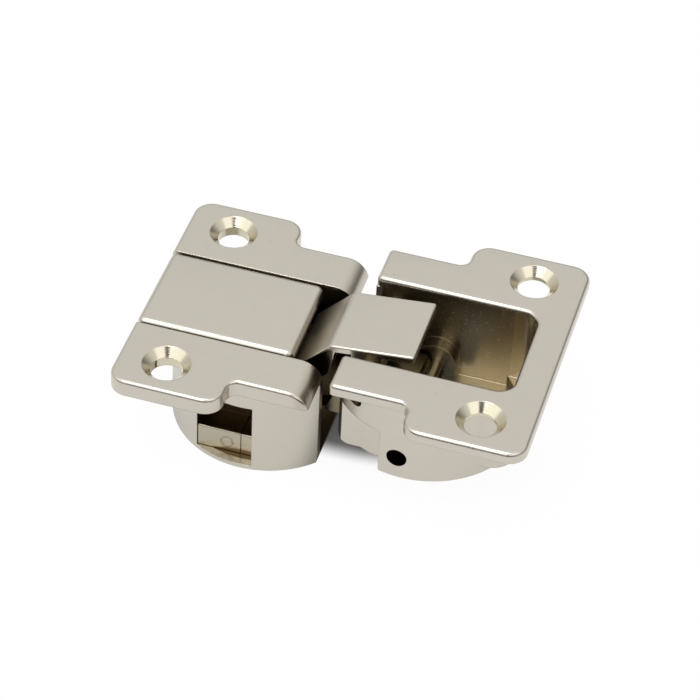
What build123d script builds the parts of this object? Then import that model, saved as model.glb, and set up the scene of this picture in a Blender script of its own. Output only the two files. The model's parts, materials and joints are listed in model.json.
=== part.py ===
from build123d import *
import os

os.makedirs("parts", exist_ok=True)

# Table hinge: two cast leaves with round cups, joined by an arm and a lower link.
# X runs across the joint, Y along the pins, Z up. The fixed cup stands on Z = 0.

# Shared
BEYOND = 60.0             # length of a cut that runs right through
NEAR = 0.01               # places closer than this are one place
UPWARD = 0.5              # a face looks up where its normal rises more than this
SEAT_GAP = 0.1            # between the cup and the flange's top face

# Both leaves
CUP_R = 15.0              # outer radius of the round cups
WALL = 1.4                # cup wall
FLOOR_T = 1.2             # cup floor
EAR_HALF = 22.0           # half width over the screw ears
NECK_MARGIN = 1.45        # how far the flange reaches past the cup beside the joint
NECK_HALF = CUP_R + NECK_MARGIN
EAR_R = 3.0               # corner of an ear
INNER_SHARE = 0.63        # share of the room that the corner between ear and neck takes
INNER_R = INNER_SHARE * (EAR_HALF - NECK_HALF - EAR_R)
TOP_ROUND = 0.8           # rounding of the top edges and of the corners at the pocket's mouth
CUP_CHAMFER = 0.45        # bottom edge of the cups
HOLE_Y = 16.0             # screw holes, from the middle
HOLE_R = 2.5
SINK_R = 3.8              # countersink at the surface

# Fixed leaf
FIXED_TOP = 19.8          # flange top
FIXED_END = -32.1         # outer end
FIXED_JOINT = -2.1        # end at the joint
FIXED_CUP_X = -13.25      # cup centre
FIXED_PLATE_T = 2.8       # flange thickness
FIXED_EAR_L = 17.7        # length of the wide ears
FIXED_HOLE_X = -24.5
JOINT_ROUND = 3.6         # roll-off that the other leaf turns past
SIDE_ROUND = 0.7          # rounding along the rim and down the roll-off
JOINT_FOOT_R = 1.0        # foot of the cup's flat at the joint
WINDOW_X0 = -20.65        # window in the cup's front wall
WINDOW_X1 = -11.25
WINDOW_UNDER = 6.6        # from the flange top down to the window
WINDOW_DEPTH = 6.0

# Moving leaf, lifted above the fixed one
LIFT = 3.7
MOVING_TOP = FIXED_TOP + LIFT
MOVING_END = 32.1
MOVING_JOINT = 0.9
MOVING_CUP_X = 12.5
MOVING_PLATE_T = 1.9
MOVING_EAR_L = 18.8
MOVING_HOLE_X = 24.1
MOVING_DEPTH = 17.4       # flange top to cup bottom
MOVING_BOTTOM = MOVING_TOP - MOVING_DEPTH
MOVING_FLOOR_T = 1.3
TOE_R = 2.2               # foot of the moving cup at the joint
POCKET_END = 26.85
POCKET_HALF = 9.07
POCKET_R = 2.6            # far corners of the pocket
BOSS_DEPTH = 15.3         # pocket wall outside the cup's circle, from the flange top
BOSS_WALL = 1.25
NOTCH_UNDER = 8.9         # below this depth the cup's wall steps in beside the joint
NOTCH_X = 8.65
NOTCH_HALF = 10.25        # half width at the joint
NOTCH_FLAT_X = 4.7        # end of the flat
NOTCH_RISE_X = 6.4        # end of the rise after it
NOTCH_RISE = 0.75
NOTCH_OUT = 1.05
NOTCH_FOOT_R = 1.0        # foot of the wall where it steps in

# Cover cap, the web it stands on and the shelf under its outer end
COVER_HALF = 8.45
COVER_GAP = 0.28
COVER_T = 1.7
COVER_OVER = 0.3          # how far the cap stands over the flange
COVER_END = -7.1
COVER_ROUND = 1.15
COVER_INSET = 0.05        # how far the cap stays inside the flange's outer end
WEB_UNDER = 3.2           # from the flange top down to the web
WEB_TOP = FIXED_TOP - WEB_UNDER
WEB_T = 1.2
WEB_END = -9.2
SHELF_UNDER = 1.8
SHELF_X = -26.0
RIB_T = 1.2
RIB_GAP = 0.02
OUTER_RIB_X = -24.0
OUTER_RIB_HALF = 6.0
INNER_RIB_X = -10.6
INNER_RIB_HALF = 3.4

# Pivots: A and C carry the arm and the link in the carriage, B and D meet the moving leaf
PIVOT_A_X = -20.9
PIVOT_A_UNDER = 9.0       # below the fixed flange's top
PIVOT_B_X = 3.9
PIVOT_B_UNDER = 5.5       # below the moving flange's top
PIVOT_C_X = -9.15
PIVOT_C_UNDER = 13.0
PIVOT_D_X = 11.55
PIVOT_D_OVER = 4.3        # above the moving cup's bottom
PIVOT_A = (PIVOT_A_X, FIXED_TOP - PIVOT_A_UNDER)
PIVOT_B = (PIVOT_B_X, MOVING_TOP - PIVOT_B_UNDER)
PIVOT_C = (PIVOT_C_X, FIXED_TOP - PIVOT_C_UNDER)
PIVOT_D = (PIVOT_D_X, MOVING_BOTTOM + PIVOT_D_OVER)
PIN_R = 1.2
PIN_HOLE_R = 1.58         # wider mouth of the rest pin's bore
HOLD = 0.02               # radial clearance where a pin is held
RUN = 0.06                # radial clearance where a piece turns on a pin
EYE_R = 2.4               # round ends of the arm and link
HINGE_PIN_GRIP = 1.93     # how deep a pin sits in the pocket's walls
REST_PIN_GRIP = 2.33
HINGE_PIN_HALF = POCKET_HALF + HINGE_PIN_GRIP
REST_PIN_HALF = POCKET_HALF + REST_PIN_GRIP

# Arm: a top plate, a steep bend and a tail that runs back to its pivot
ARM_HALF = 6.58
TAIL_HALF = 4.2
ARM_PLATE_T = 1.15
ARM_RIDGE_X = -1.75       # bend between plate and slope
ARM_RIDGE_OVER = 2.12     # above the fixed flange's top
ARM_TIP_X = 11.27
ARM_TIP_UNDER = 0.13      # below the moving flange's top
ARM_NECK_X = -7.6         # the wide part ends here
ARM_NECK_UNDER = 4.12
ARM_KNEE_X = -1.85        # inner corner under the bend
ARM_KNEE_UNDER = 3.5
ARM_HEEL_X = -6.3
ARM_HEEL_UNDER = 8.4
ARM_BEND_T = 0.7          # from the ridge to the end of the plate's flat underside
TAIL_RISE_X = -9.6        # the tail's top starts to rise
TAIL_JOIN = 0.7           # how far the tail runs into the slope
TAIL_LOW_X = -10.4        # the tail's underside passes over the link's eye from here
TAIL_LOW = 1.8
ARM_RIDGE = (ARM_RIDGE_X, FIXED_TOP + ARM_RIDGE_OVER)
ARM_TIP = (ARM_TIP_X, MOVING_TOP - ARM_TIP_UNDER)
ARM_NECK = (ARM_NECK_X, FIXED_TOP - ARM_NECK_UNDER)
ARM_HEEL = (ARM_HEEL_X, FIXED_TOP - ARM_HEEL_UNDER)
RIDGE_R = 1.1
ARM_EDGE_R = 0.45         # edges and tip corners of the plate

# Lower link: a wide seat under the rest pin and a narrow tail on its own pivot
LINK_HALF = 6.2
LINK_ROOM = 0.5           # between the link and the cup floor's opening
LINK_OVER = 2.2           # seat, above and below the rest pin's axis
LINK_UNDER = 2.3
LINK_LIP = 1.35           # end of the seat past the axis
LINK_LIP_UNDER = 0.8
LINK_SLANT = 1.15
LINK_BACK_X = -0.6
LINK_HEEL_X = -2.7
LINK_HEEL_R = 0.7
LINK_WAIST_X = -4.5
LINK_WAIST = 2.0
LINK_BEND_X = -2.0
LINK_BEND = 0.7
LINK_JOIN_X = 1.0
REST_BACK = 1.65          # the open side of the seat, from the axis
REST_RISE = 3.0
REST_FRONT = 2.05
REST_DROP = 2.1
FLOOR_SLOT_END = 16.5     # the link's opening in the moving cup's floor
FLOOR_SLOT_HALF = LINK_HALF + LINK_ROOM

# Bosses on the pocket's walls that the rest pin passes through
PIN_BOSS_R = 3.25         # rounded top
PIN_BOSS_OVER = 0.5       # middle of the round, above the pin's axis
PIN_BOSS_GAP = 0.57       # beside the link

# Carriage, guide block and their screws
SLIDE_GAP = 0.1
TAIL_ROOM = 0.3           # beside the arm's tail
EYE_ROOM = 0.6            # round the link's eye
CHEEK_IN = TAIL_HALF + TAIL_ROOM
CHEEK_T = 3.9
CHEEK_OUT = CHEEK_IN + CHEEK_T
CHEEK_END = -6.2
CHEEK_SLOPE_X = -11.2
CARRIAGE_END = -26.0
CARRIAGE_UNDER = 2.0      # between the web and the cheeks
CARRIAGE_TOP = WEB_TOP - WEB_T - CARRIAGE_UNDER
BASE_UNDER = 1.5          # from the link's pivot down to the base
BASE_TOP = PIVOT_C[1] - BASE_UNDER
BASE_MARGIN = 2.4         # from the cup's inner wall to the sides of the base
BASE_HALF = CUP_R - WALL - BASE_MARGIN
NOSE_INSET = 2.2          # from the cup's outside to the base's face in the window
NOSE_Y = NOSE_INSET - CUP_R
NOSE_EDGE = 0.3
SPLIT_SHIFT = 0.35        # from the cup's middle to the joint between carriage and guide block
SPLIT_X = FIXED_CUP_X - SPLIT_SHIFT
SPLIT_GAP = 0.05
GUIDE_END = -4.0
SCREW_X = -15.2
SCREW_Y = 6.4
SCREW_R = 1.5
SCREW_TRAVEL = 2.0        # how far the carriage can be set along X
SCREW_HEAD_R = 1.8
SCREW_HEAD_H = 1.1
SCREW_OVER = 0.3          # between the base and the screw's foot
SCREW_FOOT = BASE_TOP + SCREW_OVER
CROSS_L = 2.4
CROSS_W = 0.5
CROSS_DEPTH = 0.6
WASHER_R = 1.85
WASHER_T = 0.4


def block(x0, x1, y0, y1, z0, z1):
    """Box between two corners."""
    return Pos((x0 + x1) / 2, (y0 + y1) / 2, (z0 + z1) / 2) * Box(x1 - x0, y1 - y0, z1 - z0)


def band(x0, x1, half, z0, z1):
    """Box that lies evenly about the middle plane."""
    return block(x0, x1, -half, half, z0, z1)


def y_rod(centre, radius, y0, y1):
    """Round bar along Y through an (x, z) centre."""
    place = Pos(centre[0], (y0 + y1) / 2, centre[1]) * Rot(90, 0, 0)
    return place * Cylinder(radius, y1 - y0)


def z_rod(x, y, radius, z0, z1):
    """Round bar along Z."""
    return Pos(x, y, (z0 + z1) / 2) * Cylinder(radius, z1 - z0)


def side_prism(points, y0, y1):
    """Extrude an XZ outline from y0 to y1."""
    with BuildPart() as prism:
        with BuildSketch(Plane.XZ.offset(-y1)):
            with BuildLine():
                Polyline(*points, close=True)
            make_face()
        extrude(amount=y1 - y0)
    return prism.part


def t_outline(end, ear_length, joint):
    """Plan of a flange: wide ears at the outer end and a narrower neck at the joint."""
    inward = 1 if joint > end else -1
    step = end + inward * ear_length
    with BuildSketch() as plan:
        with Locations(((end + step) / 2, 0)):
            Rectangle(ear_length, 2 * EAR_HALF)
        with Locations(((end + joint) / 2, 0)):
            Rectangle(abs(joint - end), 2 * NECK_HALF)
        ears = [v for v in plan.vertices() if abs(v.Y) > NECK_HALF + NEAR]
        fillet(ears, EAR_R)
        inner = [v for v in plan.vertices() if abs(v.X - step) < NEAR and abs(abs(v.Y) - NECK_HALF) < NEAR]
        fillet(inner, INNER_R)
    return plan.sketch


def screw_hole(x, side, top, thickness):
    """Countersunk hole through a flange."""
    depth = SINK_R - HOLE_R
    sink = Pos(x, side * HOLE_Y, top - depth / 2) * Cone(HOLE_R, SINK_R, depth)
    return sink + z_rod(x, side * HOLE_Y, HOLE_R, top - 2 * thickness, top + SEAT_GAP)


def cup_body(x, bottom, top):
    """Round cup, solid, with a broken bottom edge."""
    cup = z_rod(x, 0, CUP_R, bottom, top - SEAT_GAP)
    return chamfer(cup.faces().sort_by(Axis.Z)[0].edges(), CUP_CHAMFER)


def foot_round(x, inward, radius, bottom):
    """What is cut off to round the foot of a cup's flat at the joint."""
    centre = x + inward * radius
    low, high = sorted((x - inward * radius, centre))
    return band(low, high, BEYOND, bottom - radius, bottom + radius) - y_rod(
        (centre, bottom + radius), radius, -BEYOND, BEYOND
    )


def roll_off():
    """What is cut off above the rounded joint end of the fixed leaf."""
    x = FIXED_JOINT - JOINT_ROUND
    z = FIXED_TOP - JOINT_ROUND
    return band(x, x + BEYOND, BEYOND, z, z + BEYOND) - y_rod((x, z), JOINT_ROUND, -BEYOND, BEYOND)


def fixed_plate():
    """Flange of the fixed leaf, rolled off at the joint."""
    low = FIXED_TOP - FIXED_PLATE_T
    plate = Pos(0, 0, low) * extrude(t_outline(FIXED_END, FIXED_EAR_L, FIXED_JOINT), FIXED_PLATE_T)
    plate -= roll_off()
    roll_start = FIXED_JOINT - JOINT_ROUND
    top = plate.faces().sort_by(Axis.Z)[-1]
    rims = [e for e in top.outer_wire().edges() if e.bounding_box().min.X < roll_start - NEAR]
    sides = [e for e in plate.edges().filter_by(GeomType.CIRCLE) if abs(e.radius - JOINT_ROUND) < NEAR]
    return fillet(rims + sides, SIDE_ROUND)


def screw_slot(side):
    """Slot in the web along which a clamp screw is set."""
    y = side * SCREW_Y
    half = SCREW_R + SLIDE_GAP
    low, high = WEB_TOP - 2 * WEB_T, WEB_TOP + WEB_T
    slot = block(SCREW_X - SCREW_TRAVEL, SCREW_X + SCREW_TRAVEL, y - half, y + half, low, high)
    for end in (SCREW_X - SCREW_TRAVEL, SCREW_X + SCREW_TRAVEL):
        slot += z_rod(end, y, half, low, high)
    return slot


def make_fixed_housing():
    """Cast cup and flange of the fixed leaf."""
    cup = cup_body(FIXED_CUP_X, 0, FIXED_TOP)
    cup -= band(FIXED_JOINT, BEYOND, BEYOND, -BEYOND, BEYOND)
    cup -= foot_round(FIXED_JOINT, -1, JOINT_FOOT_R, 0)
    housing = fixed_plate() + (cup - roll_off())
    seat_half = COVER_HALF + COVER_GAP
    cavity = z_rod(FIXED_CUP_X, 0, CUP_R - WALL, FLOOR_T, WEB_TOP - WEB_T)
    cavity &= band(-BEYOND, COVER_END, BEYOND, 0, BEYOND)
    mouth = band(FIXED_CUP_X, BEYOND, seat_half, FLOOR_T, BEYOND)
    mouth -= band(FIXED_CUP_X, WEB_END, BEYOND, WEB_TOP - WEB_T, BEYOND)
    seat = band(SHELF_X, BEYOND, seat_half, WEB_TOP, BEYOND)
    seat += band(-BEYOND, SHELF_X, seat_half, FIXED_TOP - SHELF_UNDER, BEYOND)
    wall_y = -CUP_R + WINDOW_DEPTH
    window = block(WINDOW_X0, WINDOW_X1, -BEYOND, wall_y, FLOOR_T, FIXED_TOP - WINDOW_UNDER)
    for cut in (cavity, mouth, seat, window):
        housing -= cut
    for side in (-1, 1):
        housing -= screw_hole(FIXED_HOLE_X, side, FIXED_TOP, FIXED_PLATE_T)
        housing -= screw_slot(side)
    return housing


def make_cover_cap():
    """Cap with rounded edges and two ribs that stand on the web."""
    top = FIXED_TOP + COVER_OVER
    cap = band(FIXED_END + COVER_INSET, COVER_END, COVER_HALF, top - COVER_T, top)
    cap = fillet(cap.edges().filter_by(Axis.Z), COVER_ROUND)
    cap = fillet(cap.faces().sort_by(Axis.Z)[-1].edges(), COVER_ROUND)
    for x, half in ((OUTER_RIB_X, OUTER_RIB_HALF), (INNER_RIB_X, INNER_RIB_HALF)):
        cap += band(x - RIB_T / 2, x + RIB_T / 2, half, WEB_TOP + RIB_GAP, top - COVER_T / 2)
    return cap


def base_nose(x0, x1):
    """Part of the base that stands in the window of the cup."""
    nose = block(x0, x1, NOSE_Y, WALL - BASE_HALF, FLOOR_T + SLIDE_GAP, BASE_TOP)
    lip = nose.edges().filter_by(Axis.X).group_by(Axis.Y)[0].sort_by(Axis.Z)[-1]
    return fillet(lip, NOSE_EDGE)


def make_carriage():
    """Carriage with two cheeks that hold both pivots, clamped under the web."""
    low = FLOOR_T + SLIDE_GAP
    cheek = [
        (CARRIAGE_END, BASE_TOP),
        (CHEEK_END, BASE_TOP),
        (CHEEK_END, PIVOT_C[1] + EYE_R),
        (CHEEK_SLOPE_X, CARRIAGE_TOP),
        (CARRIAGE_END, CARRIAGE_TOP),
    ]
    carriage = band(CARRIAGE_END, SPLIT_X - SPLIT_GAP, BASE_HALF, low, BASE_TOP)
    carriage += side_prism(cheek, -CHEEK_OUT, CHEEK_OUT) - side_prism(cheek, -CHEEK_IN, CHEEK_IN)
    carriage &= z_rod(FIXED_CUP_X, 0, CUP_R - WALL - SLIDE_GAP, low, CARRIAGE_TOP)
    carriage += base_nose(WINDOW_X0 + SLIDE_GAP, SPLIT_X - SPLIT_GAP)
    for pivot in (PIVOT_A, PIVOT_C):
        carriage -= y_rod(pivot, PIN_R + HOLD, -BEYOND, BEYOND)
    for side in (-1, 1):
        carriage -= z_rod(SCREW_X, side * SCREW_Y, SCREW_R + HOLD, SCREW_FOOT - SLIDE_GAP, BEYOND)
    return carriage


def make_guide_block():
    """Block that closes the base on the joint side of the carriage."""
    top = BASE_TOP - SLIDE_GAP
    guide = band(SPLIT_X + SPLIT_GAP, GUIDE_END, BASE_HALF, FLOOR_T + HOLD, top)
    guide &= z_rod(FIXED_CUP_X, 0, CUP_R - WALL - SLIDE_GAP / 2, 0, top)
    narrow_from = COVER_END - SLIDE_GAP
    for side in (-1, 1):
        y_in, y_out = sorted((side * (COVER_HALF + SLIDE_GAP), side * BEYOND))
        guide -= block(narrow_from, BEYOND, y_in, y_out, -BEYOND, BEYOND)
    guide += base_nose(SPLIT_X + SPLIT_GAP, WINDOW_X1 - SLIDE_GAP)
    return guide - y_rod(PIVOT_C, EYE_R + EYE_ROOM, -CHEEK_IN, CHEEK_IN)


def clamp_screw(side):
    """Pan-head screw with a cross recess."""
    y = side * SCREW_Y
    head_low = WEB_TOP + WASHER_T
    head_top = head_low + SCREW_HEAD_H
    screw = z_rod(SCREW_X, y, SCREW_R, SCREW_FOOT, head_low)
    screw += z_rod(SCREW_X, y, SCREW_HEAD_R, head_low, head_top)
    for turn in (0, 90):
        screw -= Pos(SCREW_X, y, head_top) * Rot(0, 0, turn) * Box(CROSS_L, CROSS_W, 2 * CROSS_DEPTH)
    return screw


def clamp_washer(side):
    """Flat washer under a clamp screw's head."""
    y = side * SCREW_Y
    ring = z_rod(SCREW_X, y, WASHER_R, WEB_TOP, WEB_TOP + WASHER_T)
    return ring - z_rod(SCREW_X, y, SCREW_R + HOLD, WEB_TOP - WEB_T, WEB_TOP + WEB_T)


def on_line(x, start, end):
    """Point at x on the line through two (x, z) points."""
    share = (x - start[0]) / (end[0] - start[0])
    return (x, start[1] + share * (end[1] - start[1]))


def under_plate(x):
    """Point at x on the underside of the arm's plate."""
    return (x, on_line(x, ARM_RIDGE, ARM_TIP)[1] - ARM_PLATE_T)


def arm_plate():
    """Wide part of the arm: plate, bend and slope, with a block round the hinge pin."""
    left, right = PIVOT_B[0] - EYE_R, PIVOT_B[0] + EYE_R
    outline = [
        ARM_TIP,
        ARM_RIDGE,
        ARM_NECK,
        ARM_HEEL,
        (ARM_KNEE_X, FIXED_TOP - ARM_KNEE_UNDER),
        under_plate(ARM_RIDGE[0] + ARM_BEND_T),
        under_plate(left),
        (left, PIVOT_B[1]),
        (right, PIVOT_B[1]),
        under_plate(right),
        under_plate(ARM_TIP[0]),
    ]
    plate = side_prism(outline, -ARM_HALF, ARM_HALF)
    plate = fillet(plate.edges().filter_by(Axis.Y).sort_by_distance((ARM_RIDGE[0], 0, ARM_RIDGE[1]))[0], RIDGE_R)
    plate = fillet(plate.edges().filter_by(Axis.Z).group_by(Axis.X)[-1], ARM_EDGE_R)
    rims = ShapeList(e for f in plate.faces() if f.normal_at().Z > UPWARD for e in f.edges())
    return fillet(rims.filter_by(Axis.Y, reverse=True) + rims.group_by(Axis.X)[-1], ARM_EDGE_R)


def make_arm():
    """Arm with a flat plate between the leaves and an eye at each end."""
    tail = [
        (PIVOT_A[0], PIVOT_A[1] + EYE_R),
        (TAIL_RISE_X, PIVOT_A[1] + EYE_R),
        on_line(ARM_NECK[0] + TAIL_JOIN, ARM_NECK, ARM_RIDGE),
        ARM_HEEL,
        (TAIL_LOW_X, PIVOT_A[1] - TAIL_LOW),
        (PIVOT_A[0], PIVOT_A[1] - EYE_R),
    ]
    arm = arm_plate() + side_prism(tail, -TAIL_HALF, TAIL_HALF)
    arm += y_rod(PIVOT_A, EYE_R, -TAIL_HALF, TAIL_HALF)
    arm += y_rod(PIVOT_B, EYE_R, -ARM_HALF, ARM_HALF)
    for pivot in (PIVOT_A, PIVOT_B):
        arm -= y_rod(pivot, PIN_R + RUN, -BEYOND, BEYOND)
    return arm


def make_lower_link():
    """Link with a wide open seat under the rest pin and a narrow tail with an eye."""
    x, z = PIVOT_D
    low = z - LINK_UNDER
    seat = [
        (x + LINK_LIP, low),
        (x + LINK_LIP, z - LINK_LIP_UNDER),
        (x - LINK_SLANT, z + LINK_OVER),
        (LINK_BACK_X, z + LINK_OVER),
        (LINK_HEEL_X, low),
    ]
    tail = [
        (LINK_JOIN_X, low),
        (LINK_JOIN_X, z),
        (LINK_WAIST_X, PIVOT_C[1] + LINK_WAIST),
        (PIVOT_C[0], PIVOT_C[1] + EYE_R),
        (PIVOT_C[0], PIVOT_C[1] - EYE_R),
        (LINK_BEND_X, low - LINK_BEND),
    ]
    opening = [
        PIVOT_D,
        (x + REST_FRONT, z - REST_DROP),
        (x + BEYOND, z - REST_DROP),
        (x + BEYOND, z + REST_RISE),
        (x - REST_BACK, z + REST_RISE),
    ]
    link = side_prism(seat, -LINK_HALF, LINK_HALF)
    heel = link.edges().filter_by(Axis.Y).group_by(Axis.X)
    link = fillet(heel[0] + heel[1], LINK_HEEL_R)
    link += side_prism(tail, -TAIL_HALF, TAIL_HALF)
    link += y_rod(PIVOT_C, EYE_R, -TAIL_HALF, TAIL_HALF)
    for pivot in (PIVOT_C, PIVOT_D):
        link -= y_rod(pivot, PIN_R + RUN, -BEYOND, BEYOND)
    return link - side_prism(opening, -BEYOND, BEYOND)


def pocket_plan():
    """Plan of the pocket that takes the arm, open at the joint."""
    length = POCKET_END - MOVING_JOINT + BEYOND
    plan = Pos(POCKET_END - length / 2, 0) * Rectangle(length, 2 * POCKET_HALF)
    return fillet(plan.vertices().group_by(Axis.X)[-1], POCKET_R)


def moving_plate():
    """Flange of the moving leaf with the pocket's opening."""
    plan = t_outline(MOVING_END, MOVING_EAR_L, MOVING_JOINT) - pocket_plan()
    corners = [v for v in plan.vertices() if abs(v.X - MOVING_JOINT) < NEAR]
    plan = fillet(corners, TOP_ROUND)
    plate = Pos(0, 0, MOVING_TOP - MOVING_PLATE_T) * extrude(plan, MOVING_PLATE_T)
    return fillet(plate.faces().sort_by(Axis.Z)[-1].outer_wire().edges(), TOP_ROUND)


def notch(side):
    """Step in the cup's wall beside the joint, with a short rise between two flats."""
    outline = [
        (MOVING_JOINT - BEYOND, side * NOTCH_HALF),
        (NOTCH_FLAT_X, side * NOTCH_HALF),
        (NOTCH_RISE_X, side * (NOTCH_HALF + NOTCH_RISE)),
        (NOTCH_X, side * (NOTCH_HALF + NOTCH_OUT)),
        (NOTCH_X, side * BEYOND),
        (MOVING_JOINT - BEYOND, side * BEYOND),
    ]
    plan = make_face(Polyline(*outline, close=True))
    low = MOVING_BOTTOM - FLOOR_T
    return Pos(0, 0, low) * extrude(plan, MOVING_TOP - NOTCH_UNDER - low)


def pin_boss(side, floor):
    """Boss beside the link that stands on the cup's floor, rounded over the rest pin."""
    y0, y1 = sorted((side * (LINK_HALF + PIN_BOSS_GAP), side * (POCKET_HALF + SEAT_GAP)))
    x, z = PIVOT_D[0], PIVOT_D[1] + PIN_BOSS_OVER
    boss = block(x - PIN_BOSS_R, x + PIN_BOSS_R, y0, y1, floor - SEAT_GAP, z)
    return boss + y_rod((x, z), PIN_BOSS_R, y0, y1)


def make_moving_housing():
    """Cast cup and flange of the moving leaf, with the pocket for the arm and link."""
    cup = cup_body(MOVING_CUP_X, MOVING_BOTTOM, MOVING_TOP)
    cup -= band(-BEYOND, MOVING_JOINT, BEYOND, -BEYOND, BEYOND)
    for side in (-1, 1):
        cup -= notch(side)
    cup -= foot_round(MOVING_JOINT, 1, TOE_R, MOVING_BOTTOM)
    step_foot = foot_round(NOTCH_X, 1, NOTCH_FOOT_R, MOVING_BOTTOM)
    cup -= step_foot - band(-BEYOND, BEYOND, NOTCH_HALF + NOTCH_OUT, -BEYOND, BEYOND)
    seat = MOVING_TOP - MOVING_PLATE_T + SEAT_GAP
    boss_low = MOVING_TOP - BOSS_DEPTH
    boss = band(MOVING_CUP_X, POCKET_END + BOSS_WALL, POCKET_HALF + BOSS_WALL, boss_low, seat)
    boss = fillet(boss.edges().filter_by(Axis.Z).group_by(Axis.X)[-1], POCKET_R + BOSS_WALL)
    body = (cup + boss) & band(-BEYOND, BEYOND, BEYOND, -BEYOND, seat)
    floor = MOVING_BOTTOM + MOVING_FLOOR_T
    pocket = Pos(0, 0, floor) * extrude(pocket_plan(), BEYOND)
    full_depth = z_rod(MOVING_CUP_X, 0, CUP_R - WALL, 0, BEYOND)
    full_depth += band(-BEYOND, MOVING_CUP_X, POCKET_HALF, 0, BEYOND)
    body -= pocket & full_depth
    body -= pocket & band(-BEYOND, BEYOND, BEYOND, boss_low + FLOOR_T, BEYOND)
    body -= band(-BEYOND, FLOOR_SLOT_END, FLOOR_SLOT_HALF, 0, floor + FLOOR_T)
    housing = moving_plate() + body
    for side in (-1, 1):
        housing += pin_boss(side, floor)
        housing -= screw_hole(MOVING_HOLE_X, side, MOVING_TOP, MOVING_PLATE_T)
    housing -= y_rod(PIVOT_B, PIN_R + HOLD, -CUP_R, HINGE_PIN_HALF + HOLD)
    housing -= y_rod(PIVOT_D, PIN_R + HOLD, -REST_PIN_HALF - HOLD, REST_PIN_HALF + HOLD)
    housing -= y_rod(PIVOT_D, PIN_HOLE_R, -BEYOND, -REST_PIN_HALF)
    return housing


carriage_pin_half = CHEEK_OUT - SLIDE_GAP
pieces = {
    "fixed_housing": make_fixed_housing(),
    "cover_cap": make_cover_cap(),
    "carriage": make_carriage(),
    "guide_block": make_guide_block(),
    "clamp_screw_front": clamp_screw(-1),
    "clamp_screw_rear": clamp_screw(1),
    "clamp_washer_front": clamp_washer(-1),
    "clamp_washer_rear": clamp_washer(1),
    "arm_pivot_pin": y_rod(PIVOT_A, PIN_R, -carriage_pin_half, carriage_pin_half),
    "link_pivot_pin": y_rod(PIVOT_C, PIN_R, -carriage_pin_half, carriage_pin_half),
    "arm": make_arm(),
    "lower_link": make_lower_link(),
    "moving_housing": make_moving_housing(),
    "arm_hinge_pin": y_rod(PIVOT_B, PIN_R, -HINGE_PIN_HALF, HINGE_PIN_HALF),
    "rest_pin": y_rod(PIVOT_D, PIN_R, -REST_PIN_HALF, REST_PIN_HALF),
}
for name, shape in pieces.items():
    solids = shape.solids()
    print(name, len(solids), [round(s.volume, 1) for s in solids], shape.is_valid)
    export_step(shape, "parts/" + name + ".step")
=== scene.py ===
"""Studio scene for a die-cast table hinge with a satin nickel finish.

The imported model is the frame. This script dresses its castings, arm, link, pins and screws, adds the small
mark that casting leaves on the inner block, and sets up a plain pale studio with a camera at the photograph's
angle. Regions and sizes on the hinge are in millimetres, and colours are linear.
"""

import json
import logging
import math
from dataclasses import dataclass, field, replace
from enum import Enum
from typing import Any, ClassVar, Iterable, Optional, Sequence, Union

import bmesh
import bpy
from mathutils import Matrix, Vector

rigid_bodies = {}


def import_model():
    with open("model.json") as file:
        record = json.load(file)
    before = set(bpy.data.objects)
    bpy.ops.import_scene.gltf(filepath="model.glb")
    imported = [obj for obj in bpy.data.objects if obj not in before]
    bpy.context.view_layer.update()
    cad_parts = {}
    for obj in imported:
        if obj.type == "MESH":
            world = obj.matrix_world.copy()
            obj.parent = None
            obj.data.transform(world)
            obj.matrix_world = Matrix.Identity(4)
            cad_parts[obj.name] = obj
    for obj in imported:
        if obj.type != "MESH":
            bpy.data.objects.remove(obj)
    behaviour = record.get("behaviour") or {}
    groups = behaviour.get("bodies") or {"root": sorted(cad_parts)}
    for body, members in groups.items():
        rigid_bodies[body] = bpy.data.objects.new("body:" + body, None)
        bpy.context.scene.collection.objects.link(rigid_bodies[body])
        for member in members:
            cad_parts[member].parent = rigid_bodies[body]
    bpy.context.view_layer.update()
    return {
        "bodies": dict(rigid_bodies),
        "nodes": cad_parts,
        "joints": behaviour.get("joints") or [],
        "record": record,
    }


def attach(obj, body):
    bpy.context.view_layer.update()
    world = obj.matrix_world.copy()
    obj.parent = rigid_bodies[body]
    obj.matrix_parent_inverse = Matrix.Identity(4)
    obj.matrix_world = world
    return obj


log = logging.getLogger("table_hinge")

MM = 0.001
EDGE_SAMPLES = 6
WELD_DISTANCE = 0.5e-6
Operand = Union["Value", float, int]
Pair = tuple[float, float]
Triple = tuple[float, float, float]


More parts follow.
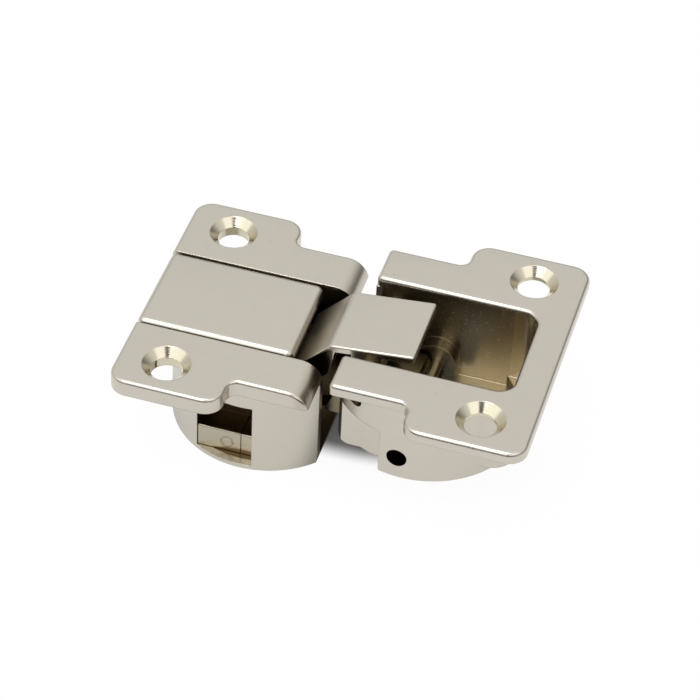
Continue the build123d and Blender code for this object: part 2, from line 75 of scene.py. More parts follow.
class Value:
    """A shader socket that adds Math nodes when it is used in a Python expression."""

    def __init__(self, shop: "ShaderShop", socket: bpy.types.NodeSocket) -> None:
        """Keep the node tree's builder and the socket."""
        self.shop = shop
        self.socket = socket

    def _math(self, operation: str, *operands: Operand, clamp: bool = False) -> "Value":
        """Add one Math node.

        Args:
            operation: Blender's name of the operation.
            *operands: values or numbers, in the node's order.
            clamp: keep the result between 0 and 1.

        Returns:
            The node's result.
        """
        settings = {"operation": operation, "use_clamp": clamp}
        return self.shop.node("ShaderNodeMath", settings, dict(enumerate(operands)))

    def __add__(self, other: Operand) -> "Value":
        """Sum."""
        return self._math("ADD", self, other)

    __radd__ = __add__

    def __sub__(self, other: Operand) -> "Value":
        """Difference."""
        return self._math("SUBTRACT", self, other)

    def __rsub__(self, other: Operand) -> "Value":
        """Difference with a number on the left."""
        return self._math("SUBTRACT", other, self)

    def __mul__(self, other: Operand) -> "Value":
        """Product."""
        return self._math("MULTIPLY", self, other)

    __rmul__ = __mul__

    def __truediv__(self, other: Operand) -> "Value":
        """Quotient."""
        return self._math("DIVIDE", self, other)

    def __pow__(self, other: Operand) -> "Value":
        """Power."""
        return self._math("POWER", self, other)

    def sine(self) -> "Value":
        """Sine of an angle in radians."""
        return self._math("SINE", self)

    def clamped(self) -> "Value":
        """The same value kept between 0 and 1."""
        return self._math("ADD", self, 0.0, clamp=True)

    def smooth_between(self, low: float, high: float) -> "Value":
        """A soft mask that rises from 0 at low to 1 at high."""
        inputs = {"Value": self, "From Min": low, "From Max": high}
        return self.shop.node("ShaderNodeMapRange", {"interpolation_type": "SMOOTHSTEP"}, inputs)


class ShaderShop:
    """Builds one node tree."""

    def __init__(self, tree: bpy.types.NodeTree) -> None:
        """Start from an empty tree."""
        self.tree = tree
        tree.nodes.clear()

    def node(
        self,
        kind: str,
        settings: Optional[dict[str, Any]] = None,
        inputs: Optional[dict[Union[str, int], Any]] = None,
        output: Union[str, int] = 0,
    ) -> Value:
        """Add a node of any kind.

        Args:
            kind: the node's type name.
            settings: its properties, set before its inputs.
            inputs: a value, colour or link for each named or numbered socket.
            output: the socket that the result stands for.

        Returns:
            The chosen output as a value.
        """
        made = self.tree.nodes.new(kind)
        for name, setting in (settings or {}).items():
            setattr(made, name, setting)
        self._feed(made, inputs or {})
        return Value(self, made.outputs[output])

    def _feed(self, made: bpy.types.Node, inputs: dict[Union[str, int], Any]) -> None:
        """Link or set a node's inputs.

        Args:
            made: the node.
            inputs: a value, colour or link for each socket.
        """
        for name, given in inputs.items():
            if isinstance(given, Value):
                self.tree.links.new(given.socket, made.inputs[name])
            else:
                made.inputs[name].default_value = given

    def surface(self, shader: Value, output: str = "ShaderNodeOutputMaterial") -> None:
        """Use a shader as the tree's surface."""
        self._feed(self.tree.nodes.new(output), {"Surface": shader})

    def axes(self, vector: Value) -> tuple[Value, Value, Value]:
        """The three parts of a vector."""
        return tuple(self.node("ShaderNodeSeparateXYZ", {}, {0: vector}, axis) for axis in "XYZ")

    def mix(self, factor: Operand, first: Any, second: Any) -> Value:
        """Mix two colours by a factor."""
        settings = {"data_type": "RGBA", "clamp_factor": True}
        return self.node("ShaderNodeMix", settings, {0: factor, 6: first, 7: second}, 2)

    def stretched(self, place: Value, scale: Triple) -> Value:
        """Coordinates stretched along the axes, for a grain that runs one way."""
        return self.node("ShaderNodeMapping", {}, {"Vector": place, "Scale": scale})

    def noise(self, place: Value, scale: float, detail: float = 2.0, roughness: float = 0.55) -> Value:
        """Fractal noise at a number of cycles per metre."""
        inputs = {"Vector": place, "Scale": scale, "Detail": detail, "Roughness": roughness}
        return self.node("ShaderNodeTexNoise", {}, inputs)

    def bump(self, height: Value, distance: float, normal: Value) -> Value:
        """Turn a height between 0 and 1 into a normal, with its depth in metres."""
        return self.node("ShaderNodeBump", {}, {"Height": height, "Distance": distance, "Normal": normal})


def rgba(colour: Sequence[float]) -> tuple[float, float, float, float]:
    """A colour with full alpha."""
    return (colour[0], colour[1], colour[2], 1.0)


def grey(level: float) -> tuple[float, float, float, float]:
    """A neutral colour with full alpha."""
    return rgba((level, level, level))


class Along(Enum):
    """The axis that a round region's middle line follows, with its place among the axes and the other two."""

    Y = (1, (0, 2))
    Z = (2, (0, 1))


@dataclass(frozen=True)
class BoxRegion:
    """A box whose sides fade in over a soft width."""

    low: Triple
    high: Triple
    soft: Triple = (0.1, 0.1, 0.1)

    def mask(self, axes: Sequence[Value]) -> Operand:
        """Work out where the box is.

        Args:
            axes: the place on the object in millimetres.

        Returns:
            1 inside the box and 0 outside.
        """
        mask: Operand = 1.0
        for value, low, high, soft in zip(axes, self.low, self.high, self.soft):
            mask = value.smooth_between(low, low + soft) * mask
            mask = (0.0 - value).smooth_between(-high, -high + soft) * mask
        return mask


@dataclass(frozen=True)
class RoundRegion:
    """A round bar of space, along Y or Z."""

    along: Along
    centre: Pair
    radius: float
    low: float
    high: float
    soft: float = 0.06
    end_soft: float = 0.1

    def distance(self, axes: Sequence[Value]) -> Value:
        """Distance from the middle line."""
        first, second = (axes[i] - c for i, c in zip(self.along.value[1], self.centre))
        return (first * first + second * second) ** 0.5

    def mask(self, axes: Sequence[Value]) -> Operand:
        """Work out where the bar is.

        Args:
            axes: the place on the object in millimetres.

        Returns:
            1 inside the bar and 0 outside.
        """
        length = axes[self.along.value[0]]
        mask = (self.radius - self.distance(axes)).smooth_between(0.0, self.soft)
        mask = length.smooth_between(self.low, self.low + self.end_soft) * mask
        return (0.0 - length).smooth_between(-self.high, -self.high + self.end_soft) * mask


Region = Union[BoxRegion, RoundRegion]


class Shade(Enum):
    """Colours painted in for light and shade on the nickel: painted shade in hollows, gaps, bores and under
    the arm, painted light and reflection on faces beside them that the window or the room lights, and a pale
    colour for specks.
    """

    # painted shade inside the fixed cup, where little light reaches
    CUP_HOLLOW_SHADE = (0.17, 0.125, 0.07)
    # painted shade on the seat where the arm lies
    ARM_SEAT_SHADE = (0.22, 0.18, 0.12)
    # painted shade and reflection of the dark gap on the rounded joint end
    ROLL_OFF_SHADE = (0.30, 0.25, 0.18)
    # painted shade in the gap along the cap's front
    CAP_GAP_SHADE = (0.10, 0.085, 0.055)
    # painted shade on the cap's end toward the joint
    CAP_END_SHADE = (0.20, 0.17, 0.12)
    # painted shade and reflection: the pocket's walls and floor, olive and darker than the nickel
    POCKET_SHADE = (0.475, 0.41, 0.285)
    # painted shadow of the arm on the pocket's far wall, darker toward the top
    PAINTED_ARM_SHADOW = (0.15, 0.122, 0.078)
    # painted shade inside the two bores in the moving cup's front wall
    HINGE_BORE_SHADE = (0.10, 0.075, 0.045)
    REST_BORE_SHADE = (0.02, 0.016, 0.01)
    # painted shade over the blocks inside the fixed cup
    CARRIAGE_SHADE = (0.15, 0.11, 0.06)
    # painted light on the block's face that the window lights
    WINDOW_LIT_FACE = (0.45, 0.408, 0.318)
    # painted shade, warm and darker, along the foot of the lit face
    WINDOW_FOOT_SHADE = (0.42, 0.31, 0.17)
    # painted shade on the arm's flanks
    ARM_FLANK_SHADE = (0.14, 0.12, 0.08)
    # painted reflection: the arm's slope lighter and warmer than the painted shade round it
    ARM_SLOPE_REFLECTION = (0.56, 0.505, 0.40)
    # painted shade on the arm's end inside the pocket
    ARM_EYE_SHADE = (0.26, 0.215, 0.145)
    SPECK = (0.80, 0.73, 0.58)


@dataclass(frozen=True)
class Tint:
    """A part of a piece whose colour and gloss differ: painted shade in a hollow, gap or bore that the light
    hardly reaches, or painted light and reflection on a face that it does reach.

    It lies where all its regions meet. A strength under 1 lets the finish round it show through. Specks are
    pale spots mixed in where the tint lies.
    """

    regions: tuple[Region, ...]
    shade: Shade
    roughness: float = 0.3
    strength: float = 1.0
    specks: float = 0.0

    def mask(self, axes: Sequence[Value]) -> Operand:
        """Work out where the tint is.

        Args:
            axes: the place on the object in millimetres.

        Returns:
            A number between 0 and the tint's strength.
        """
        mask: Operand = self.strength
        for region in self.regions:
            mask = region.mask(axes) * mask
        return mask


@dataclass(frozen=True)
class Turned:
    """A face cut by a rotating tool about a line along Z: glossier and yellower, with fine rings.

    The rings' depth is in metres.
    """

    centre: Pair
    radius: float
    low: float
    high: float
    colour: Triple = (0.60, 0.555, 0.43)
    roughness: float = 0.13
    rings_per_mm: float = 5.5
    ring_depth: float = 0.0000035
    wander_per_m: float = 700.0
    wander: float = 0.35

    def region(self) -> RoundRegion:
        """The round region that the tool cut."""
        return RoundRegion(Along.Z, self.centre, self.radius, self.low, self.high)

    def rings(self, shop: ShaderShop, axes: Sequence[Value], place: Value) -> Value:
        """Work out the tool's rings, a little uneven round the hole.

        Args:
            shop: the builder of the material's nodes.
            axes: the place on the object in millimetres.
            place: the same place as one vector in metres.

        Returns:
            The rings' height between 0 and 1.
        """
        wander = shop.noise(place, self.wander_per_m) * self.wander
        turns = (self.region().distance(axes) + wander) * (self.rings_per_mm * math.tau)
        return turns.sine() * 0.5 + 0.5


@dataclass(frozen=True)
class NickelFinish:
    """Satin nickel over a zinc casting or steel.

    The grain is the fine pearl texture of the plating, the peel is the softer unevenness of the casting
    below it, and the pits are its rare pores. Each sharp edge is broken by a small radius. Depths and the
    radius are in metres, patterns in cycles per metre, and each band is where a noise turns into a mask.
    """

    name: str
    base: Triple = (0.56, 0.525, 0.455)
    shade: Triple = (0.48, 0.445, 0.375)
    roughness: float = 0.25
    roughness_spread: float = 0.035
    grain_per_m: float = 5200.0
    grain_depth: float = 0.0000018
    grain_stretch: Triple = (1.0, 1.0, 1.0)
    peel_per_m: float = 420.0
    peel_depth: float = 0.000008
    mottle: float = 0.06
    mottle_band: Pair = (0.35, 0.75)
    pits_per_m: float = 620.0
    pit_depth: float = 0.00002
    pit_shade: float = 0.5
    pit_band: Pair = (-0.16, -0.05)
    pit_chance: Pair = (0.60, 0.66)
    specks_per_m: float = 2300.0
    speck_band: Pair = (0.648, 0.688)
    edge_radius: float = 0.00012
    tints: tuple[Tint, ...] = ()
    turned: tuple[Turned, ...] = ()

    def make(self) -> bpy.types.Material:
        """Build the material.

        Returns:
            A node material on Object coordinates.
        """
        material = bpy.data.materials.new(self.name)
        material.use_nodes = True
        shop = ShaderShop(material.node_tree)
        place = shop.node("ShaderNodeTexCoord", {}, {}, "Object")
        axes = [axis / MM for axis in shop.axes(place)]
        clouds = shop.noise(place, self.peel_per_m, 2.0, 0.5)
        grain = shop.noise(shop.stretched(place, self.grain_stretch), self.grain_per_m, 2.0, 0.6)
        pits = self._pits(shop, place)
        tone = (clouds.smooth_between(*self.mottle_band) * self.mottle + pits * self.pit_shade).clamped()
        colour = shop.mix(tone, rgba(self.base), rgba(self.shade))
        spread = self.roughness_spread
        rough = self.roughness + (grain - 0.5) * spread + (clouds - 0.5) * spread
        normal = shop.node("ShaderNodeBevel", {"samples": EDGE_SAMPLES}, {0: self.edge_radius})
        normal = shop.bump(clouds, self.peel_depth, normal)
        normal = shop.bump(grain, self.grain_depth, normal)
        normal = shop.bump(1.0 - pits, self.pit_depth, normal)
        for tint in self.tints:
            mask = tint.mask(axes)
            colour = shop.mix(mask, colour, rgba(tint.shade.value))
            rough = rough + (tint.roughness - rough) * mask
            if tint.specks:
                specks = self._specks(shop, place) * mask * tint.specks
                colour = shop.mix(specks, colour, rgba(Shade.SPECK.value))
        for face in self.turned:
            mask = face.region().mask(axes)
            colour = shop.mix(mask, colour, rgba(face.colour))
            rough = rough + (face.roughness - rough) * mask
            normal = shop.bump(face.rings(shop, axes, place) * mask, face.ring_depth, normal)
        inputs = {"Base Color": colour, "Metallic": 1.0, "Roughness": rough, "Normal": normal}
        shop.surface(shop.node("ShaderNodeBsdfPrincipled", {}, inputs))
        return material

    def _pits(self, shop: ShaderShop, place: Value) -> Value:
        """Work out the rare small pores.

        Args:
            shop: the builder of the material's nodes.
            place: the place on the object.

        Returns:
            1 in the middle of a pore and 0 elsewhere.
        """
        inputs = {"Vector": place, "Scale": self.pits_per_m, "Randomness": 1.0}
        cell = shop.node("ShaderNodeTexVoronoi", {}, inputs, "Distance")
        chance = shop.noise(place, self.pits_per_m * 0.7, 0.0).smooth_between(*self.pit_chance)
        return (0.0 - cell).smooth_between(*self.pit_band) * chance

    def _specks(self, shop: ShaderShop, place: Value) -> Value:
        """Pale grains, 1 in their middle."""
        return shop.noise(place, self.specks_per_m, 1.0).smooth_between(*self.speck_band)


class Plating(Enum):
    """The metal surfaces on the hinge, before a piece's painted shade and light."""

    # the castings, cap, arm and inner blocks carry painted shade from their tints, and the arm and inner
    # blocks painted light too
    FIXED_CASTING = NickelFinish("satin_nickel_fixed_casting_painted_shade", edge_radius=0.00026)
    MOVING_CASTING = NickelFinish("satin_nickel_moving_casting_painted_shade", edge_radius=0.0002)
    CAP = NickelFinish("satin_nickel_cap_painted_shade")
    ARM = NickelFinish("satin_nickel_arm_painted_shade_and_light")
    INNER_CASTING = NickelFinish("plain_nickel_inner_painted_shade_and_light", roughness=0.34, peel_depth=0.00004)
    # painted shade: the link's base is much darker than the nickel round it, for the shade of the gap it lies
    # in
    LINK = NickelFinish("nickel_link_painted_shade", base=(0.20, 0.17, 0.115), shade=(0.15, 0.125, 0.085), roughness=0.24)
    PIN = NickelFinish(
        "drawn_steel_pin",
        base=(0.64, 0.57, 0.43),
        roughness=0.18,
        grain_stretch=(1.0, 0.06, 1.0),
        peel_depth=0.000006,
    )
    SCREW = NickelFinish("zinc_plated_screw", base=(0.56, 0.55, 0.52), roughness=0.28)

    def tinted(self, *tints: Tint, turned: tuple[Turned, ...] = ()) -> NickelFinish:
        """The same surface with a piece's painted shade and light, and its turned faces."""
        return replace(self.value, tints=tints, turned=turned)


@dataclass
class SubAssembly:
    """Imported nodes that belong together, with the scene's own pieces on them."""

    frame: dict[str, Any]

    MADE: ClassVar[dict[NickelFinish, bpy.types.Material]] = {}

    @classmethod
    def material(cls, finish: NickelFinish) -> bpy.types.Material:
        """The finish's material, built once."""
        if finish not in cls.MADE:
            cls.MADE[finish] = finish.make()
        return cls.MADE[finish]

    def finishes(self) -> dict[str, NickelFinish]:
        """The finish of each node."""
        return {}

    def dress(self, node: str, finish: NickelFinish, smooth_angle: float = 32.0) -> None:
        """Assign a node's finish and smooth its round faces.

        Args:
            node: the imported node's name.
            finish: what it is plated with.
            smooth_angle: faces that meet at less than this many degrees shade as one.
        """
        piece = self.frame["nodes"][node]
        material = self.material(finish)
        if not piece.material_slots:
            piece.data.materials.append(material)
        for place in piece.material_slots:
            place.material = material
        piece.data.polygons.foreach_set("use_smooth", [True] * len(piece.data.polygons))
        weld = piece.modifiers.new("weld", "WELD")
        weld.merge_threshold = WELD_DISTANCE
        split = piece.modifiers.new("edge_split", "EDGE_SPLIT")
        split.split_angle = math.radians(smooth_angle)
        split.use_edge_sharp = False
        log.info("dressed %s as %s", node, material.name)

    def add(
        self, name: str, shape: bmesh.types.BMesh, finish: NickelFinish, body: str, slot: str
    ) -> bpy.types.Object:
        """Make a piece from a finished mesh.

        Args:
            name: the piece's name.
            shape: its mesh, with its place in it, in metres.
            finish: what it is plated with.
            body: the body that carries it.
            slot: not used.

        Returns:
            The new object.
        """
        bmesh.ops.remove_doubles(shape, verts=shape.verts, dist=1e-7)
        bmesh.ops.recalc_face_normals(shape, faces=shape.faces)
        mesh = bpy.data.meshes.new(name)
        shape.to_mesh(mesh)
        shape.free()
        mesh.polygons.foreach_set("use_smooth", [True] * len(mesh.polygons))
        mesh.materials.append(self.material(finish))
        piece = bpy.data.objects.new(name, mesh)
        bpy.context.scene.collection.objects.link(piece)
        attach(piece, body)
        log.info("added %s on %s with %d faces", name, body, len(mesh.polygons))
        return piece

    def build(self) -> None:
        """Dress the nodes."""
        for node, finish in self.finishes().items():
            self.dress(node, finish)


@dataclass
class Leaf(SubAssembly):
    """What both leaves share: two screw holes with turned countersinks."""

    flange_top: float = 0.0
    hole_x: float = 0.0
    hole_y: float = 16.0
    sink_radius: float = 3.85
    sink_depth: float = 4.01

    def sinks(self) -> tuple[Turned, ...]:
        """The two countersinks, cut from the flange's top."""
        low = self.flange_top - self.sink_depth
        places = ((self.hole_x, side * self.hole_y) for side in (-1, 1))
        return tuple(Turned(place, self.sink_radius, low, self.flange_top) for place in places)


@dataclass
class FixedLeaf(Leaf):
    """Cast cup and flange on the table's fixed side, with the cap over its mechanism."""

    flange_top: float = 19.8
    hole_x: float = -24.5
    # painted shade: where the fixed cup's hollow is darkened
    hollow: RoundRegion = RoundRegion(Along.Z, (-13.25, 0.0), 13.8, 1.0, 16.7)
    # painted shade: the arm's seat in the fixed housing
    arm_seat_shade: BoxRegion = BoxRegion((-9.5, -8.8, 1.0), (-1.0, 8.8, 19.7), (0.8, 0.04, 0.8))
    # painted shade: the rounded end at the joint, darker toward the gap
    roll_off_shade: BoxRegion = BoxRegion((-5.0, -20.0, 15.0), (-1.5, 20.0, 20.5), (3.0, 0.1, 1.0))
    # painted shade: the lower front of the cap, beside its gap
    cap_gap_shade: BoxRegion = BoxRegion((-31.8, -9.0, 17.0), (-8.4, -8.2, 19.74), (0.1, 0.1, 0.14))
    # painted shade: the cap's end over the arm
    cap_end_shade: BoxRegion = BoxRegion((-8.3, -9.0, 17.0), (-7.0, 9.0, 20.05), (0.5, 0.1, 0.9))

    def casting(self) -> NickelFinish:
        """The casting's finish: painted shade in the cup, on the arm's seat and on the roll-off at the joint.
        """
        return Plating.FIXED_CASTING.tinted(
            Tint((self.hollow,), Shade.CUP_HOLLOW_SHADE),
            Tint((self.arm_seat_shade,), Shade.ARM_SEAT_SHADE),
            Tint((self.roll_off_shade,), Shade.ROLL_OFF_SHADE, roughness=0.22, strength=0.85),
            turned=self.sinks(),
        )

    def cap(self) -> NickelFinish:
        """The cap's finish: painted shade along the gap in front of it and on its end over the arm."""
        return Plating.CAP.tinted(Tint((self.cap_gap_shade,), Shade.CAP_GAP_SHADE), Tint((self.cap_end_shade,), Shade.CAP_END_SHADE))

    def finishes(self) -> dict[str, NickelFinish]:
        """The finish of each node."""
        return {"fixed_housing": self.casting(), "cover_cap": self.cap()}


@dataclass
class Carriage(SubAssembly):
    """The block in the fixed cup that holds both pivots, and the screws that clamp it."""

    # painted shade: the blocks inside the cup
    hollow: BoxRegion = BoxRegion((-27.0, -12.55, 0.0), (-2.0, 14.0, 16.0), (0.1, 0.15, 0.1))
    # painted light: the block's face in the window
    window_lit_face: BoxRegion = BoxRegion((-21.0, -13.0, 0.0), (-11.0, -12.5, 5.4))
    # painted shade: the foot of the block's lit face
    window_foot_shade: BoxRegion = BoxRegion((-21.0, -13.0, -1.2), (-11.0, -12.5, 2.4), (0.1, 0.1, 1.8))
    mark_x: float = -15.86
    mark_z: float = 3.1
    mark_radius: float = 0.95
    mark_steps: int = 40
    face_y: float = -12.8
    bead: float = 0.16
    bead_stands: float = 0.06
    bead_sunk: float = 0.01
    bead_steps: int = 6

    def inner_casting(self) -> NickelFinish:
        """The blocks' finish: painted shade over them, a painted lit face where the window lets light in, and
        warmer painted shade at that face's foot.
        """
        return Plating.INNER_CASTING.tinted(
            Tint((self.hollow,), Shade.CARRIAGE_SHADE),
            Tint((self.window_lit_face,), Shade.WINDOW_LIT_FACE, roughness=0.24),
            Tint((self.window_foot_shade,), Shade.WINDOW_FOOT_SHADE, roughness=0.2, strength=0.7),
        )

    def finishes(self) -> dict[str, NickelFinish]:
        """The finish of each node."""
        blocks = ("carriage", "guide_block")
        screws = ("clamp_screw_front", "clamp_screw_rear", "clamp_washer_front", "clamp_washer_rear")
        pins = ("arm_pivot_pin", "link_pivot_pin")
        return {
            **dict.fromkeys(blocks, self.inner_casting()),
            **dict.fromkeys(screws, Plating.SCREW.value),
            **dict.fromkeys(pins, Plating.PIN.value),
        }

    def ejector_mark(self) -> bmesh.types.BMesh:
        """Model the round ridge that an ejector pin leaves on the block's face in the window.

        Returns:
            A half-round bead, spun about a line along Y.
        """
        shape = bmesh.new()
        centre = Vector((self.mark_x, self.face_y, self.mark_z)) * MM
        profile = []
        for step in range(self.bead_steps + 1):
            angle = math.pi * step / self.bead_steps
            out = self.mark_radius + self.bead * math.cos(angle)
            lift = self.bead_stands * math.sin(angle) - self.bead_sunk
            profile.append(shape.verts.new(centre + Vector((out, -lift, 0.0)) * MM))
        edges = [shape.edges.new(pair) for pair in zip(profile, profile[1:] + profile[:1])]
        bmesh.ops.spin(
            shape,
            geom=profile + edges,
            cent=centre,
            axis=(0.0, 1.0, 0.0),
            angle=math.tau,
            steps=self.mark_steps,
            use_merge=True,
        )
        return shape

    def build(self) -> None:
        """Dress the blocks, screws and pivots, and add the mark on the block's face."""
        super().build()
        mark = self.ejector_mark()
        self.add("window_ejector_mark", mark, self.inner_casting(), "fixed_leaf", "inner_casting")


@dataclass
class Linkage(SubAssembly):
    """The arm and the lower link between the leaves."""

    # painted shade: the arm's flanks by the bend
    flank: BoxRegion = BoxRegion((-9.0, -7.0, 8.0), (-1.3, 7.0, 21.3), (0.1, 0.1, 0.5))
    # painted reflection: the slope down from the arm's bend
    slope: BoxRegion = BoxRegion((-9.0, -6.5, 8.0), (-1.6, 6.5, 21.6), (0.1, 0.1, 0.8))
    # painted shade: the arm's eye in the pocket
    eye: BoxRegion = BoxRegion((0.5, -7.0, 10.0), (8.0, 7.0, 20.6), (0.1, 0.1, 0.4))

    def arm(self) -> NickelFinish:
        """The arm's finish: painted shade on its flanks and at its eye, and a painted reflection on its
        slope, warmer and duller than the plate.
        """
        return Plating.ARM.tinted(
            Tint((self.flank,), Shade.ARM_FLANK_SHADE, roughness=0.2),
            Tint((self.slope,), Shade.ARM_SLOPE_REFLECTION, roughness=0.38),
            Tint((self.eye,), Shade.ARM_EYE_SHADE),
        )

    def finishes(self) -> dict[str, NickelFinish]:
        """The finish of each node."""
        return {"arm": self.arm(), "lower_link": Plating.LINK.value}


@dataclass
class MovingLeaf(Leaf):
    """Cast cup and flange on the leaf that folds, with the pins across its pocket."""

    flange_top: float = 23.5
    hole_x: float = 24.1
    cup: RoundRegion = RoundRegion(Along.Z, (12.5, 0.0), 13.9, 7.2, 22.8, end_soft=0.3)
    # painted shade: the pocket and its far end
    pocket: BoxRegion = BoxRegion((0.95, -9.2, 0.0), (40.0, 9.2, 30.0), (0.3, 0.05, 0.1))
    far_pocket: BoxRegion = BoxRegion((20.0, -9.2, 9.2), (27.0, 9.2, 22.8), (0.5, 0.05, 0.3))
    # painted shadow: where the arm's shadow falls in the pocket
    painted_arm_shadow: BoxRegion = BoxRegion((-9.0, 0.0, 7.0), (28.0, 40.0, 40.0), (9.0, 5.0, 10.0))
    # painted shade: inside the bores
    hinge_bore_shade: RoundRegion = RoundRegion(Along.Y, (3.9, 18.0), 1.32, -16.0, -9.6)
    rest_bore_shade: RoundRegion = RoundRegion(Along.Y, (11.55, 10.4), 1.64, -16.0, -9.6)

    def casting(self) -> NickelFinish:
        """The casting's finish: painted shade that turns the pocket olive, the arm's painted shadow with pale
        specks in it, and painted shade in the bores.
        """
        return Plating.MOVING_CASTING.tinted(
            Tint((self.cup, self.pocket), Shade.POCKET_SHADE, roughness=0.27),
            Tint((self.far_pocket,), Shade.POCKET_SHADE, roughness=0.27),
            Tint((self.cup, self.pocket, self.painted_arm_shadow), Shade.PAINTED_ARM_SHADOW, 0.33, 0.63, specks=0.75),
            Tint((self.hinge_bore_shade,), Shade.HINGE_BORE_SHADE),
            Tint((self.rest_bore_shade,), Shade.REST_BORE_SHADE),
            turned=self.sinks(),
        )

    def finishes(self) -> dict[str, NickelFinish]:
        """The finish of each node."""
        pin = Plating.PIN.value
        return {"moving_housing": self.casting(), "arm_hinge_pin": pin, "rest_pin": pin}


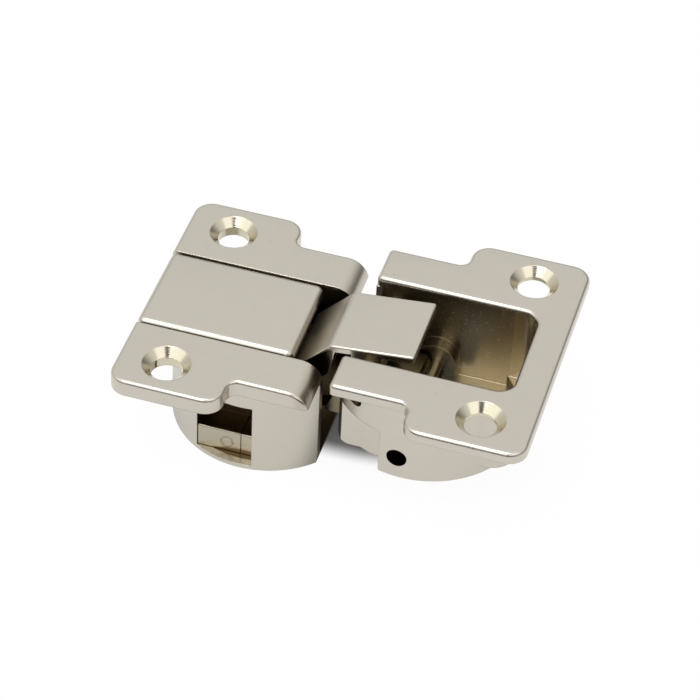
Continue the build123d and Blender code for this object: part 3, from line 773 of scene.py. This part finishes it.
@dataclass
class Studio:
    """A light tent over a pale floor, seen from the photograph's viewpoint.

    The tent is bright overhead, brighter still high in front, darker near the floor, and has a slot that the
    lens looks through. Its places are in metres, and each band is where one level turns into the next.
    """

    target: Vector = field(default_factory=lambda: Vector((0.70, -4.23, 19.8)) * MM)
    azimuth: float = 14.65
    elevation: float = 42.75
    roll: float = 3.04
    distance: float = 453.5 * MM
    focal_px: float = 3000.0
    frame_px: float = 700.0
    sensor: float = 36.0
    clip: Pair = (0.01, 20.0)

    dome: float = 1.0
    dome_band: Pair = (0.12, 0.62)
    low_left: float = 0.75
    low_right: float = 0.22
    side_band: Pair = (-0.3, 0.9)
    front_low: float = 0.04
    front_low_deep: Pair = (0.35, 0.75)
    front_low_drop: Pair = (-0.55, -0.34)
    front_high: float = 1.6
    front_high_deep: Pair = (0.05, 0.25)
    front_high_rise: Pair = (0.32, 0.52)
    slot: float = 0.12
    slot_band: Pair = (0.975, 0.990)

    lamp_place: Triple = (-0.12, -0.34, 0.82)
    lamp_size: float = 0.44
    lamp_watts: float = 2.1

    floor_half: float = 1.5
    floor_drop: float = 0.02 * MM
    reach: Pair = (0.026, 0.0105)
    near_glow: float = 0.06
    far_glow: float = 0.97
    glow_band: Pair = (0.40, 0.82)
    # painted shadow: the paper's grey close to the hinge
    painted_shadow_paper: float = 0.25
    far_paper: float = 0.92
    paper_band: Pair = (0.6, 1.5)
    mirror_glow: float = 0.7
    mirror_band: Pair = (0.9, 1.6)

    def view_axes(self) -> tuple[Vector, Vector, Vector]:
        """Work out the photograph's view.

        Returns:
            Its right, up and forward directions.
        """
        az, el, roll = (math.radians(angle) for angle in (self.azimuth, self.elevation, self.roll))
        forward = Vector((-math.sin(az) * math.cos(el), math.cos(az) * math.cos(el), -math.sin(el)))
        right = Vector((math.cos(az), math.sin(az), 0.0))
        up = right.cross(forward)
        return (
            right * math.cos(roll) + up * math.sin(roll),
            up * math.cos(roll) - right * math.sin(roll),
            forward,
        )

    def camera(self) -> bpy.types.Object:
        """Place the camera.

        Returns:
            The camera object, made the scene's camera.
        """
        right, up, forward = self.view_axes()
        data = bpy.data.cameras.new("camera")
        data.sensor_fit = "HORIZONTAL"
        data.sensor_width = self.sensor
        data.lens = self.focal_px / self.frame_px * self.sensor
        data.clip_start, data.clip_end = self.clip
        camera = bpy.data.objects.new("camera", data)
        turn = Matrix((right, up, -forward)).transposed().to_4x4()
        camera.matrix_world = Matrix.Translation(self.target - forward * self.distance) @ turn
        bpy.context.scene.collection.objects.link(camera)
        bpy.context.scene.camera = camera
        return camera

    def paper(self) -> bpy.types.Material:
        """Make the floor white to the lens and in far reflections, with the shadow left close to the hinge
        and painted shadow in the paper there.

        Returns:
            The floor's material.
        """
        material = bpy.data.materials.new("pale_floor")
        material.use_nodes = True
        shop = ShaderShop(material.node_tree)
        across, deep, _ = shop.axes(shop.node("ShaderNodeTexCoord", {}, {}, "Object"))
        across, deep = across / self.reach[0], deep / self.reach[1]
        away = (across * across + deep * deep) ** 0.5
        glow = away.smooth_between(*self.glow_band) * (self.far_glow - self.near_glow) + self.near_glow
        # painted shadow: the paper darker close to the hinge, under and between the leaves
        tone = shop.mix(away.smooth_between(*self.paper_band), grey(self.painted_shadow_paper), grey(self.far_paper))
        paper = shop.node("ShaderNodeBsdfDiffuse", {}, {"Color": tone})
        white = shop.node("ShaderNodeEmission", {}, {"Color": grey(1.0), "Strength": 1.0})
        seen = shop.node("ShaderNodeLightPath", {}, {}, "Is Camera Ray")
        mirrored = shop.node("ShaderNodeLightPath", {}, {}, "Is Glossy Ray")
        shown = seen * glow + mirrored * away.smooth_between(*self.mirror_band) * self.mirror_glow
        shop.surface(shop.node("ShaderNodeMixShader", {}, {0: shown, 1: paper, 2: white}))
        return material

    def floor(self) -> bpy.types.Object:
        """Lay the floor.

        Returns:
            The floor object.
        """
        mesh = bpy.data.meshes.new("floor")
        sheet = bmesh.new()
        bmesh.ops.create_grid(sheet, x_segments=2, y_segments=2, size=self.floor_half)
        sheet.to_mesh(mesh)
        sheet.free()
        mesh.transform(Matrix.Translation((0.0, 0.0, -self.floor_drop)))
        mesh.materials.append(self.paper())
        floor = bpy.data.objects.new("floor", mesh)
        bpy.context.scene.collection.objects.link(floor)
        return floor

    def world(self) -> None:
        """Light the room as the inside of the tent, and show white behind the floor."""
        world = bpy.data.worlds.new("studio")
        bpy.context.scene.world = world
        world.use_nodes = True
        shop = ShaderShop(world.node_tree)
        across, deep, height = shop.axes(shop.node("ShaderNodeTexCoord", {}, {}, "Generated"))
        left, front, down = 0.0 - across, 0.0 - deep, 0.0 - height
        low = left.smooth_between(*self.side_band) * (self.low_left - self.low_right) + self.low_right
        level = low + (self.dome - low) * height.smooth_between(*self.dome_band)
        under = front.smooth_between(*self.front_low_deep) * down.smooth_between(*self.front_low_drop)
        level = level + (self.front_low - level) * under
        over = front.smooth_between(*self.front_high_deep) * height.smooth_between(*self.front_high_rise)
        level = level + (self.front_high - level) * over
        lens = -self.view_axes()[2]
        toward = across * lens.x + deep * lens.y + height * lens.z
        level = level + (self.slot - level) * toward.smooth_between(*self.slot_band)
        seen = shop.node("ShaderNodeLightPath", {}, {}, "Is Camera Ray")
        strength = level + (1.0 - level) * seen
        light = shop.node("ShaderNodeBackground", {}, {"Color": grey(1.0), "Strength": strength})
        shop.surface(light, "ShaderNodeOutputWorld")

    def lamp(self) -> bpy.types.Object:
        """Hang a soft lamp that looks at the hinge.

        Returns:
            The lamp object.
        """
        data = bpy.data.lights.new("overhead", "AREA")
        data.size = self.lamp_size
        data.energy = self.lamp_watts
        lamp = bpy.data.objects.new("overhead", data)
        place = Vector(self.lamp_place)
        turn = (place - self.target).to_track_quat("Z", "Y").to_matrix().to_4x4()
        lamp.matrix_world = Matrix.Translation(place) @ turn
        bpy.context.scene.collection.objects.link(lamp)
        return lamp

    def build(self) -> None:
        """Set up camera, floor, world and lamp."""
        self.camera()
        self.floor()
        self.world()
        self.lamp()
        bpy.context.scene.view_settings.view_transform = "Standard"


def main() -> None:
    """Load the frame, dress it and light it."""
    logging.basicConfig(level=logging.INFO, format="%(name)s: %(message)s")
    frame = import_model()
    Studio().build()
    for group in (FixedLeaf, Carriage, Linkage, MovingLeaf):
        group(frame).build()


if __name__ == "__main__":
    main()
